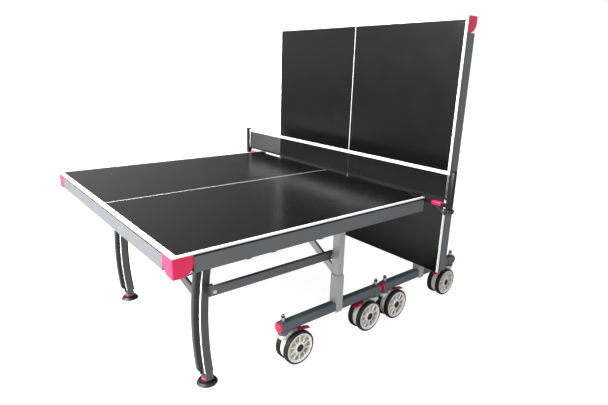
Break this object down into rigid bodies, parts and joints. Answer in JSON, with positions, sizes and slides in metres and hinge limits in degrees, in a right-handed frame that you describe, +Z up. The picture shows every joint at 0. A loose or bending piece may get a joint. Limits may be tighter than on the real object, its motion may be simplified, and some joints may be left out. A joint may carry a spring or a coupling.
{
  "type": "table tennis table",
  "caption": "Outdoor rollaway table-tennis table in solo-practice position: one half level on curved legs, the other folded upright behind the net, each on a castor trolley.",
  "frame": {"origin": "on the floor, at the middle of the whole object's box, midway between the two trolley beams", "axes": "+X from the level half towards the upright half, +Y across the table, +Z up"},
  "size_m": [1.978, 1.855, 1.649],
  "materials": {
    "board": "satin resin laminate",
    "white_band": "satin powder coat",
    "grey_steel": "satin powder coat",
    "black_steel": "satin powder coat",
    "beam_steel": "satin powder coat",
    "silver_steel": "satin powder coat",
    "leg_steel": "satin powder coat",
    "zinc_steel": "zinc plated",
    "black_plastic": "moulded gloss",
    "pink_plastic": "moulded satin",
    "white_plastic": "moulded satin",
    "tyre_rubber": "moulded",
    "black_rubber": "moulded",
    "net_cloth": "knotted net",
    "net_tape": "woven tape"
  },
  "bodies": {
    "play_trolley": {"play_trolley_beams": "beam_steel", "play_beam_caps": "pink_plastic", "play_trolley_frame": "silver_steel", "play_trolley_pins": "zinc_steel"},
    "play_top": {"play_top_panel": "board", "play_edge_band": "white_band", "play_aprons": "grey_steel", "play_corner_caps": "pink_plastic", "play_under_frame": "black_steel", "net_mesh": "net_cloth", "net_tape": "net_tape", "net_posts": "black_steel", "net_levers": "pink_plastic"},
    "play_legs": {"play_leg_tubes": "leg_steel", "play_leg_covers": "black_plastic", "play_leg_pins": "zinc_steel"},
    "play_links": {"play_link_bars": "grey_steel"},
    "play_left_foot": {"play_left_foot": "black_rubber"},
    "play_left_outer_castor_frame": {"play_left_outer_castor_frame": "white_plastic"},
    "play_left_outer_castor_wheels": {"play_left_outer_castor_wheels": "tyre_rubber"},
    "play_left_outer_castor_pedal": {"play_left_outer_castor_pedal": "pink_plastic"},
    "play_left_inner_castor_frame": {"play_left_inner_castor_frame": "white_plastic"},
    "play_left_inner_castor_wheels": {"play_left_inner_castor_wheels": "tyre_rubber"},
    "play_left_inner_castor_pedal": {"play_left_inner_castor_pedal": "pink_plastic"},
    "play_right_foot": {"play_right_foot": "black_rubber"},
    "play_right_outer_castor_frame": {"play_right_outer_castor_frame": "white_plastic"},
    "play_right_outer_castor_wheels": {"play_right_outer_castor_wheels": "tyre_rubber"},
    "play_right_outer_castor_pedal": {"play_right_outer_castor_pedal": "pink_plastic"},
    "play_right_inner_castor_frame": {"play_right_inner_castor_frame": "white_plastic"},
    "play_right_inner_castor_wheels": {"play_right_inner_castor_wheels": "tyre_rubber"},
    "play_right_inner_castor_pedal": {"play_right_inner_castor_pedal": "pink_plastic"},
    "wall_trolley": {"wall_trolley_beams": "beam_steel", "wall_beam_caps": "pink_plastic", "wall_trolley_frame": "silver_steel", "wall_trolley_pins": "zinc_steel"},
    "wall_top": {"wall_top_panel": "board", "wall_edge_band": "white_band", "wall_aprons": "grey_steel", "wall_corner_caps": "pink_plastic", "wall_under_frame": "black_steel"},
    "wall_legs": {"wall_leg_tubes": "leg_steel", "wall_leg_covers": "black_plastic", "wall_leg_pins": "zinc_steel"},
    "wall_links": {"wall_link_bars": "grey_steel"},
    "wall_left_foot": {"wall_left_foot": "black_rubber"},
    "wall_left_outer_castor_frame": {"wall_left_outer_castor_frame": "white_plastic"},
    "wall_left_outer_castor_wheels": {"wall_left_outer_castor_wheels": "tyre_rubber"},
    "wall_left_outer_castor_pedal": {"wall_left_outer_castor_pedal": "pink_plastic"},
    "wall_left_inner_castor_frame": {"wall_left_inner_castor_frame": "white_plastic"},
    "wall_left_inner_castor_wheels": {"wall_left_inner_castor_wheels": "tyre_rubber"},
    "wall_left_inner_castor_pedal": {"wall_left_inner_castor_pedal": "pink_plastic"},
    "wall_right_foot": {"wall_right_foot": "black_rubber"},
    "wall_right_outer_castor_frame": {"wall_right_outer_castor_frame": "white_plastic"},
    "wall_right_outer_castor_wheels": {"wall_right_outer_castor_wheels": "tyre_rubber"},
    "wall_right_outer_castor_pedal": {"wall_right_outer_castor_pedal": "pink_plastic"},
    "wall_right_inner_castor_frame": {"wall_right_inner_castor_frame": "white_plastic"},
    "wall_right_inner_castor_wheels": {"wall_right_inner_castor_wheels": "tyre_rubber"},
    "wall_right_inner_castor_pedal": {"wall_right_inner_castor_pedal": "pink_plastic"},
    "net_left_knob": {"net_left_knob": "black_steel"},
    "net_right_knob": {"net_right_knob": "black_steel"}
  },
  "joints": [
    {"name": "play_fold", "type": "hinge", "parent": "play_trolley", "child": "play_top", "pos_m": [-0.059, 0, 0.719], "axis": [0, 1, 0], "range_deg": [0, 90]},
    {"name": "play_leg_swing", "type": "hinge", "parent": "play_top", "child": "play_legs", "pos_m": [-0.714, 0, 0.719], "axis": [0, 1, 0], "range_deg": [-90, 0]},
    {"name": "play_link_swing", "type": "hinge", "parent": "play_trolley", "child": "play_links", "pos_m": [-0.075, 0, 0.479], "axis": [0, 1, 0], "range_deg": [0, 90]},
    {"name": "play_left_foot_turn", "type": "hinge", "parent": "play_legs", "child": "play_left_foot", "pos_m": [-0.738, 0.49, 0.01], "axis": [0, 0, 1], "continuous": true},
    {"name": "play_left_outer_castor_swivel", "type": "hinge", "parent": "play_trolley", "child": "play_left_outer_castor_frame", "pos_m": [-0.396, 0.6, 0.187], "axis": [0, 0, 1], "continuous": true},
    {"name": "play_left_outer_castor_spin", "type": "hinge", "parent": "play_left_outer_castor_frame", "child": "play_left_outer_castor_wheels", "pos_m": [-0.321, 0.6, 0.086], "axis": [0, 1, 0], "continuous": true},
    {"name": "play_left_outer_castor_brake", "type": "hinge", "parent": "play_left_outer_castor_frame", "child": "play_left_outer_castor_pedal", "pos_m": [-0.299, 0.6, 0.16], "axis": [0, 1, 0], "range_deg": [0, 8]},
    {"name": "play_left_inner_castor_swivel", "type": "hinge", "parent": "play_trolley", "child": "play_left_inner_castor_frame", "pos_m": [0.244, 0.6, 0.187], "axis": [0, 0, 1], "range_deg": [-36, 36]},
    {"name": "play_left_inner_castor_spin", "type": "hinge", "parent": "play_left_inner_castor_frame", "child": "play_left_inner_castor_wheels", "pos_m": [0.169, 0.6, 0.086], "axis": [0, 1, 0], "continuous": true},
    {"name": "play_left_inner_castor_brake", "type": "hinge", "parent": "play_left_inner_castor_frame", "child": "play_left_inner_castor_pedal", "pos_m": [0.147, 0.6, 0.16], "axis": [0, 1, 0], "range_deg": [-8, 0]},
    {"name": "play_right_foot_turn", "type": "hinge", "parent": "play_legs", "child": "play_right_foot", "pos_m": [-0.738, -0.49, 0.01], "axis": [0, 0, 1], "continuous": true},
    {"name": "play_right_outer_castor_swivel", "type": "hinge", "parent": "play_trolley", "child": "play_right_outer_castor_frame", "pos_m": [-0.396, -0.6, 0.187], "axis": [0, 0, 1], "continuous": true},
    {"name": "play_right_outer_castor_spin", "type": "hinge", "parent": "play_right_outer_castor_frame", "child": "play_right_outer_castor_wheels", "pos_m": [-0.321, -0.6, 0.086], "axis": [0, 1, 0], "continuous": true},
    {"name": "play_right_outer_castor_brake", "type": "hinge", "parent": "play_right_outer_castor_frame", "child": "play_right_outer_castor_pedal", "pos_m": [-0.299, -0.6, 0.16], "axis": [0, 1, 0], "range_deg": [0, 8]},
    {"name": "play_right_inner_castor_swivel", "type": "hinge", "parent": "play_trolley", "child": "play_right_inner_castor_frame", "pos_m": [0.244, -0.6, 0.187], "axis": [0, 0, 1], "range_deg": [-36, 36]},
    {"name": "play_right_inner_castor_spin", "type": "hinge", "parent": "play_right_inner_castor_frame", "child": "play_right_inner_castor_wheels", "pos_m": [0.169, -0.6, 0.086], "axis": [0, 1, 0], "continuous": true},
    {"name": "play_right_inner_castor_brake", "type": "hinge", "parent": "play_right_inner_castor_frame", "child": "play_right_inner_castor_pedal", "pos_m": [0.147, -0.6, 0.16], "axis": [0, 1, 0], "range_deg": [-8, 0]},
    {"name": "wall_fold", "type": "hinge", "parent": "wall_trolley", "child": "wall_top", "pos_m": [0.622, 0, 0.719], "axis": [0, 1, 0], "range_deg": [0, 90]},
    {"name": "wall_leg_swing", "type": "hinge", "parent": "wall_top", "child": "wall_legs", "pos_m": [0.622, 0, 1.374], "axis": [0, 1, 0], "range_deg": [-90, 0]},
    {"name": "wall_link_swing", "type": "hinge", "parent": "wall_trolley", "child": "wall_links", "pos_m": [0.638, 0, 0.479], "axis": [0, 1, 0], "range_deg": [0, 90]},
    {"name": "wall_roll_out", "type": "slide", "parent": "play_trolley", "child": "wall_trolley", "axis": [1, 0, 0], "range_m": [0, 0.24]},
    {"name": "wall_left_foot_turn", "type": "hinge", "parent": "wall_legs", "child": "wall_left_foot", "pos_m": [0.646, 0.49, 0.665], "axis": [0, 0, 1], "continuous": true},
    {"name": "wall_left_outer_castor_swivel", "type": "hinge", "parent": "wall_trolley", "child": "wall_left_outer_castor_frame", "pos_m": [0.959, 0.6, 0.187], "axis": [0, 0, 1], "continuous": true},
    {"name": "wall_left_outer_castor_spin", "type": "hinge", "parent": "wall_left_outer_castor_frame", "child": "wall_left_outer_castor_wheels", "pos_m": [0.884, 0.6, 0.086], "axis": [0, 1, 0], "continuous": true},
    {"name": "wall_left_outer_castor_brake", "type": "hinge", "parent": "wall_left_outer_castor_frame", "child": "wall_left_outer_castor_pedal", "pos_m": [0.862, 0.6, 0.16], "axis": [0, 1, 0], "range_deg": [-8, 0]},
    {"name": "wall_left_inner_castor_swivel", "type": "hinge", "parent": "wall_trolley", "child": "wall_left_inner_castor_frame", "pos_m": [0.319, 0.6, 0.187], "axis": [0, 0, 1], "range_deg": [-36, 36]},
    {"name": "wall_left_inner_castor_spin", "type": "hinge", "parent": "wall_left_inner_castor_frame", "child": "wall_left_inner_castor_wheels", "pos_m": [0.394, 0.6, 0.086], "axis": [0, 1, 0], "continuous": true},
    {"name": "wall_left_inner_castor_brake", "type": "hinge", "parent": "wall_left_inner_castor_frame", "child": "wall_left_inner_castor_pedal", "pos_m": [0.416, 0.6, 0.16], "axis": [0, 1, 0], "range_deg": [0, 8]},
    {"name": "wall_right_foot_turn", "type": "hinge", "parent": "wall_legs", "child": "wall_right_foot", "pos_m": [0.646, -0.49, 0.665], "axis": [0, 0, 1], "continuous": true},
    {"name": "wall_right_outer_castor_swivel", "type": "hinge", "parent": "wall_trolley", "child": "wall_right_outer_castor_frame", "pos_m": [0.959, -0.6, 0.187], "axis": [0, 0, 1], "continuous": true},
    {"name": "wall_right_outer_castor_spin", "type": "hinge", "parent": "wall_right_outer_castor_frame", "child": "wall_right_outer_castor_wheels", "pos_m": [0.884, -0.6, 0.086], "axis": [0, 1, 0], "continuous": true},
    {"name": "wall_right_outer_castor_brake", "type": "hinge", "parent": "wall_right_outer_castor_frame", "child": "wall_right_outer_castor_pedal", "pos_m": [0.862, -0.6, 0.16], "axis": [0, 1, 0], "range_deg": [-8, 0]},
    {"name": "wall_right_inner_castor_swivel", "type": "hinge", "parent": "wall_trolley", "child": "wall_right_inner_castor_frame", "pos_m": [0.319, -0.6, 0.187], "axis": [0, 0, 1], "range_deg": [-36, 36]},
    {"name": "wall_right_inner_castor_spin", "type": "hinge", "parent": "wall_right_inner_castor_frame", "child": "wall_right_inner_castor_wheels", "pos_m": [0.394, -0.6, 0.086], "axis": [0, 1, 0], "continuous": true},
    {"name": "wall_right_inner_castor_brake", "type": "hinge", "parent": "wall_right_inner_castor_frame", "child": "wall_right_inner_castor_pedal", "pos_m": [0.416, -0.6, 0.16], "axis": [0, 1, 0], "range_deg": [0, 8]},
    {"name": "net_left_knob_turn", "type": "hinge", "parent": "play_top", "child": "net_left_knob", "pos_m": [0.393, 0.9025, 0.716], "axis": [0, 0, 1], "continuous": true},
    {"name": "net_right_knob_turn", "type": "hinge", "parent": "play_top", "child": "net_right_knob", "pos_m": [0.393, -0.9025, 0.716], "axis": [0, 0, 1], "continuous": true}
  ],
  "couplings": [
    {"joint": "play_leg_swing", "follows": "play_fold", "ratio": -1},
    {"joint": "play_link_swing", "follows": "play_fold", "ratio": 1},
    {"joint": "wall_leg_swing", "follows": "wall_fold", "ratio": -1},
    {"joint": "wall_link_swing", "follows": "wall_fold", "ratio": 1},
    {"joint": "wall_roll_out", "follows": "wall_fold", "m_per_rad": 0.15024}
  ]
}
